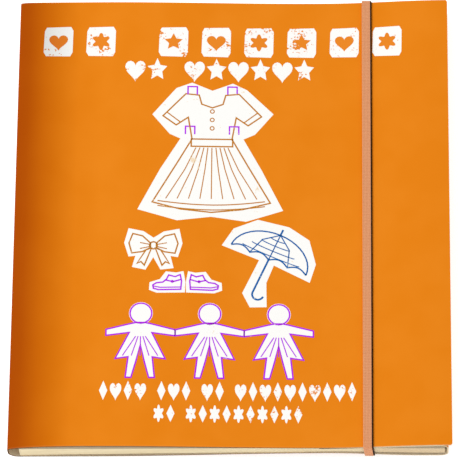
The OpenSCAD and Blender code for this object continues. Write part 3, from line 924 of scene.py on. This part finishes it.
def makeBand():
    b = band
    half, flat, c = b["width"] / 2, b["thick"] / 2, b["chamfer"]
    rib = lambda x: b["ribDepth"] * (1 - abs(math.sin(math.pi * b["ribs"] * (x + half) / b["width"])))
    weave = [(x, flat - rib(x)) for x in stretch(b["rim"] - half, half - b["rim"], b["ribStep"])]
    weave += [(half, c), (half, -c), (half - c, -flat), (c - half, -flat), (-half, -c), (-half, c)]
    # dark thread along the right edge: painted shadow of the band
    thread = moved(ring(b["thread"] / 2, 8), half + b["thread"] / 2 - b["threadLap"], 0)
    tree = bandTree()
    for name, outline, paint in (
            ("elasticBand", weave, "elastic"), ("elasticSelvedge", thread, "paintedShadow")):
        path = polyCurve("bandPath", bandLoop())
        section = polyCurve("bandSection", [(x * mm, y * mm, 0) for x, y in outline])
        made = grown(path, tree, {"Section": section, "Weave": materials[paint]}, name)
        bpy.data.objects.remove(section)
        bm = bmesh.new()
        bm.from_mesh(made.data)
        welded(bm).to_mesh(made.data)
        bm.free()
        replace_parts(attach(made, "band"), "elastic_band")


makeBand()
print("elastic made")

doll = {
    "card": 0.4, "paper": 0.2, "gap": 0.05, "ink": 0.008, "tilt": math.radians(0.138356),
    "baseRadius": 30, "crease": 0.25, "tabWide": 4.72, "tabLap": 5.9, "shoulder": 88.5, "shoulderTab": 7.08,
    "waist": 70.8, "waistHalf": 9.44, "top": 118, "lineInset": 0.5, "linePen": 0.45, "lineFrom": 2.2,
    "figure": mirrored([
        (0, 0), (20, 0), (20, 2), (17.4, 3.4), (16.4, 5.4), (13.6, 7.4), (10.4, 9), (9.4, 11), (10.4, 17),
        (11.3, 25), (10.4, 33), (10.8, 38), (11.8, 44), (17.2, 45.4), (12.6, 56), (9.4, 66), (9.2, 73),
        (10.4, 79), (11.2, 80.8), (19, 72), (26.6, 61), (27.4, 57.6), (29.6, 55.6), (32.6, 56), (34, 58.4),
        (33.4, 61.4), (30, 65), (22.4, 77.4), (15.4, 86), (11.4, 89), (6.4, 90.2), (3.8, 91.6), (3.6, 95.2),
        (7.4, 96.6), (10.6, 98.6), (12.4, 97), (15.6, 96.6), (18, 98.8), (18.4, 102.2), (16.2, 105.2),
        (12.4, 106), (11.8, 109), (9.6, 113.4), (5.6, 116.8), (0, 118)]),
    "betweenLegs": mirrored([
        (0, 3.6), (2.6, 3.8), (3.2, 8), (4.4, 11.4), (3.2, 24), (3.9, 33), (2.6, 42), (0, 45)]),
    "dress": mirrored([
        (0, 83.6), (3.6, 85), (5, 88.6), (9, 88.9), (12.2, 88.8), (16.4, 86.6), (20.4, 80.6), (18.4, 77.4),
        (14.6, 78.2), (11.4, 80.4), (10, 75), (9.5, 70.8), (10.2, 67), (15, 58), (22, 44), (26, 36.6),
        (22.4, 35.4), (18.6, 36.8), (14.8, 35.4), (11, 36.8), (7.4, 35.4), (3.6, 36.8), (0, 35.4)]),
    "hat": mirrored([
        (0, 110.6), (8, 110.8), (14.6, 110.2), (17.7, 109.8), (18, 111.2), (14.4, 112.8), (9.4, 113.5),
        (8.9, 116), (8.1, 117.6), (6.4, 118), (0, 118.1)]),
}


def rounded(points, rounds=2):  # cuts the corners of a closed outline
    for _ in range(rounds):
        points = [(ax + (bx - ax) * t, ay + (by - ay) * t)
                  for (ax, ay), (bx, by) in zip(points, points[1:] + points[:1]) for t in (0.25, 0.75)]
    return points


def onDoll(x, y, z):  # from the doll's own millimetres, above its crease, to the frame
    crease = creases["doll_hinge"]
    c, s = math.cos(doll["tilt"]), math.sin(doll["tilt"])
    z -= doll["card"] / 2
    return Vector((crease.x + x * c - z * s, crease.y + y, crease.z + x * s + z * c)) * mm


def addPlate(bm, loops, low, thick):  # flat shape cut from paper, with its holes
    lower, upper = (
        [[bm.verts.new(onDoll(x, y, z)) for x, y in loop] for loop in loops] for z in (low, low + thick))
    sides = [pair for loop in lower for pair in zip(loop, loop[1:] + loop[:1])]
    filled = bmesh.ops.triangle_fill(bm, edges=[bm.edges.new(pair) for pair in sides], use_beauty=True)
    above = {a: b for loopA, loopB in zip(lower, upper) for a, b in zip(loopA, loopB)}
    for face in [g for g in filled["geom"] if isinstance(g, bmesh.types.BMFace)]:
        bm.faces.new([above[v] for v in face.verts])
    for a, b in sides:
        bm.faces.new((a, b, above[b], above[a]))


def addTab(bm, x, y, turnDeg=0):  # tab folded over an edge of the card and behind it
    d = doll
    half, lift = d["tabWide"] / 2, d["paper"] + d["gap"]
    block = lambda low, high: moved(
        [(-half, low), (half, low), (half, high), (-half, high)], x, y, 1, turnDeg)
    over = block(d["gap"], d["gap"] + d["paper"])
    behind = block(d["gap"] - d["tabLap"], d["gap"] + d["paper"] / 2)  # runs into the fold
    addPlate(bm, [over], -lift, lift + d["card"] + d["gap"] + d["paper"])
    addPlate(bm, [behind], -lift, d["paper"])


def paperPiece(name, loops, low, thick, paint, slot, body, node, tabs=()):
    bm = bmesh.new()
    addPlate(bm, loops, low, thick)
    for tab in tabs:
        addTab(bm, *tab)
    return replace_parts(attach(meshObject(name, bm, paint), body), node)


def makeDoll():
    d = doll
    card, front = (0, d["card"]), (d["card"] + d["gap"], d["paper"])  # height and thickness
    foot = arc(0, -d["crease"], d["baseRadius"], d["baseRadius"], 180, 360, 30)
    figure = [rounded(d["figure"]), rounded(d["betweenLegs"])]
    dress, hat = [rounded(d["dress"])], [rounded(d["hat"])]
    tabs = [(side * d["shoulderTab"], d["shoulder"]) for side in both]
    tabs += [(-side * d["waistHalf"], d["waist"], side * 90) for side in both]
    return {
        "base": paperPiece("dollBase", [foot], *card, "dollCard", "doll_card", "sheet_14", "doll_base"),
        "figure": paperPiece("dollFigure", figure, *card, "dollCard", "doll_card", "doll", "doll_figure"),
        "dress": paperPiece("dollDress", dress, *front, "dress", "dress_paper", "doll", "paper_dress", tabs),
        "hat": paperPiece("dollHat", hat, *front, "hat", "hat_paper", "doll", "paper_hat", [(0, d["top"])]),
    }


def bow(cx, cy, size, turnDeg=0):
    half = [(0.12, 0.2), (1, 0.6), (1, -0.6), (0.12, -0.2)]
    return moved(mirrored(half), cx, cy, size, turnDeg)


def inkSet(*names):  # one flat drawing for each ink
    return {name: bmesh.new() for name in names}


def figureArt():
    inks = inkSet("hair", "drawing", "rose", "plainWhite", "plainPurple")
    paint, stroke = artTools(inks)
    outline = grownOut(rounded(doll["figure"]), -doll["lineInset"])
    stroke("drawing", [(x, y) for x, y in outline if y > doll["lineFrom"]], doll["linePen"])
    paint("hair", mirrored([
        (0, 117.3), (5.4, 116.2), (9, 113), (11.2, 108.8), (11.3, 104.6), (9.9, 103), (9.2, 106.4),
        (7.4, 108.6), (3, 109.9), (0, 109.4)]))
    paint("hair", moved(polar(lambda a: 3.5 + 0.25 * math.cos(7 * a), 42), 14.8, 101), both)  # bunches
    paint("plainPurple", bow(11.3, 104.6, 1.9, 60), both)
    paint("drawing", moved(ring(1.0, 14), 3.9, 103.5), both)  # eyes
    stroke("drawing", [(2.6, 105.9), (3.9, 106.4), (5.2, 106)], 0.4, sides=both)  # brows
    paint("rose", moved(ring(1.5, 18), 6.3, 100.9), both)  # cheeks
    stroke("rose", [(x / 2, 99.5 - 0.9 * math.cos(x * 0.3)) for x in range(-5, 6)], 0.6)  # mouth
    stroke("drawing", [(-0.5, 101.6), (0, 101.3), (0.5, 101.6)], 0.35)  # nose
    paint("plainWhite", [(4.4, 10.4), (9.2, 10.4), (10.1, 16.4), (3.9, 16.4)], both)  # socks
    stroke("drawing", [(3.9, 16.4), (10.1, 16.4)], 0.5, sides=both)
    paint("plainPurple", [
        (2.9, 4.2), (16.2, 4.2), (15.2, 5.8), (12.8, 7.2), (9.8, 8.6), (9.2, 9.8), (4.2, 9.8), (3.5, 8)],
        both)  # shoes
    stroke("plainWhite", [(5, 7), (8.6, 7.6), (11.4, 6.4)], 0.6, sides=both)
    return inks


def dressArt():
    inks = inkSet("plainWhite", "plainBlue", "plainPurple")
    paint, stroke = artTools(inks)
    collar = rounded([(0.3, 83.2), (3.6, 84.6), (5, 88.2), (8.8, 88.4), (7.8, 82.4), (3, 79.6)])
    cuff = [(15, 78.6), (18.2, 78), (20, 80.8), (19.2, 82), (16.9, 79.8)]
    for part in (collar, cuff):
        paint("plainWhite", part, both)
    for x in (4, 8, 12):  # pleats
        stroke("plainBlue", [(x * 0.6, 66.6), (x * 1.1, 55), (x * 1.8, 39.6)], 0.35, sides=both)
    paint("plainBlue", [(-9.3, 68.6), (9.3, 68.6), (9.2, 72.4), (-9.2, 72.4)])  # sash
    paint("plainPurple", bow(-4.4, 70.4, 3.2))
    hem = [(x, 37.9 - 0.7 * math.cos(2 * math.pi * x / 7.5)) for x in range(-24, 25)]
    stroke("plainWhite", hem, 0.9)
    for y in (77, 74.4):  # buttons
        paint("plainWhite", moved(ring(0.7, 12), 0, y))
    return inks


def hatArt():
    inks = inkSet("drawing", "plainBlue")
    paint, stroke = artTools(inks)
    paint("plainBlue", [(-9, 113.4), (-8.9, 115.3), (8.9, 115.3), (9, 113.4), (0, 113)])  # ribbon
    stroke("drawing", [(x, 111.2 - 0.0016 * x * x) for x in range(-16, 17, 2)], 0.3)  # brim
    return inks


def baseArt():
    inks = inkSet("drawing", "plainPurple", "plainBlue")
    paint, stroke = artTools(inks)
    stroke("drawing", arc(0, -1.4, 28.2, 28.2, 182, 358, 44), doll["linePen"])
    for k, (x, y) in enumerate(arc(0, 0, 23, 23, 206, 334, 8)):
        paint(("plainPurple", "plainBlue")[k % 2], moved(shapes["flower"], x, y, 2.2))
    return inks


def printDoll(pieces):
    crease = creases["doll_hinge"] * mm
    for part, inks, slot, body in (
            ("figure", figureArt(), "doll_card", "doll"), ("dress", dressArt(), "dress_paper", "doll"),
            ("hat", hatArt(), "hat_paper", "doll"), ("base", baseArt(), "doll_card", "sheet_14")):
        for level, (ink, bm) in enumerate(inks.items()):
            bmesh.ops.translate(bm, vec=(crease.x, crease.y, 0), verts=bm.verts)
            name = part + ink[0].upper() + ink[1:]
            printOn(name, bm, pieces[part], doll["ink"] * (level + 1), ink, body)


printDoll(makeDoll())
print("doll made")

floor = {"size": 6, "drop": 0.2, "color": "#F6F6F4", "rough": 0.9, "glow": 0.61}


def makeFloor():
    bm = bmesh.new()
    bmesh.ops.create_grid(bm, x_segments=1, y_segments=1, size=floor["size"] / 2)
    made = meshObject("floor", bm)
    made.location.z = -floor["drop"] * mm
    material, tree, _ = newMaterial("Plain white floor")
    ray = addNode(tree, "LightPath").outputs
    seen = ray["Is Camera Ray"]
    for other in ("Is Glossy Ray", "Is Transmission Ray"):
        seen = addNode(tree, "Math", {0: seen, 1: ray[other]}, operation="ADD")
    glow = addNode(tree, "Math", {0: seen, 1: floor["glow"]}, operation="MULTIPLY")
    shader = addNode(tree, "BsdfPrincipled", {
        "Base Color": hexColor(floor["color"]), "Roughness": floor["rough"],
        "Emission Color": (1, 1, 1, 1), "Emission Strength": glow})
    addNode(tree, "OutputMaterial", {"Surface": shader})
    made.data.materials.append(material)


light = {
    "sky": 0.66,
    "lamps": {
        "key": {"energy": 20, "size": 1.2, "place": (-1.3, 0.5, 1.6)},
        "front": {"energy": 11, "size": 0.7, "place": (-0.3, -2.1, 0.3)},
    },
}


def makeLight():
    world = bpy.data.worlds.new("studio")
    world.use_nodes = True
    scene.world = world
    background = world.node_tree.nodes["Background"].inputs
    background["Color"].default_value = (1, 1, 1, 1)
    background["Strength"].default_value = light["sky"]
    for name, lamp in light["lamps"].items():
        data = bpy.data.lights.new(name, "AREA")
        data.shape = "DISK"
        data.size = lamp["size"]
        data.energy = lamp["energy"]
        made = placed(name, data)
        made.location = lamp["place"]
        made.rotation_mode = "QUATERNION"
        made.rotation_quaternion = Vector(lamp["place"]).to_track_quat("Z", "Y")


view = {  # angles in degrees, metres, and the photograph's pixels
    "elevation": 66.28, "azimuth": 4.94, "roll": -4.8, "distance": 2.103,
    "side": 458, "focal": 4262, "px": 232.2, "py": 229.8, "sensor": 36, "far": 20,
}


def makeCamera():
    e, a, r = (math.radians(view[k]) for k in ("elevation", "azimuth", "roll"))
    back = Vector((math.sin(a) * math.cos(e), -math.cos(a) * math.cos(e), math.sin(e)))
    right = Vector((math.cos(a), math.sin(a), 0))
    up = back.cross(right)
    right, up = math.cos(r) * right + math.sin(r) * up, math.cos(r) * up - math.sin(r) * right
    data = bpy.data.cameras.new("camera")
    data.sensor_width = view["sensor"]
    data.lens = view["focal"] / view["side"] * data.sensor_width
    data.clip_end = view["far"]
    perPixel = view["distance"] / view["focal"]
    middle = view["side"] / 2
    aside = right * (middle - view["px"]) * perPixel - up * (middle - view["py"]) * perPixel
    made = placed("camera", data)
    turned = Matrix((right, up, back)).transposed().to_4x4()
    made.matrix_world = Matrix.Translation(back * view["distance"] + aside) @ turned
    scene.camera = made


makeFloor()
makeLight()
makeCamera()
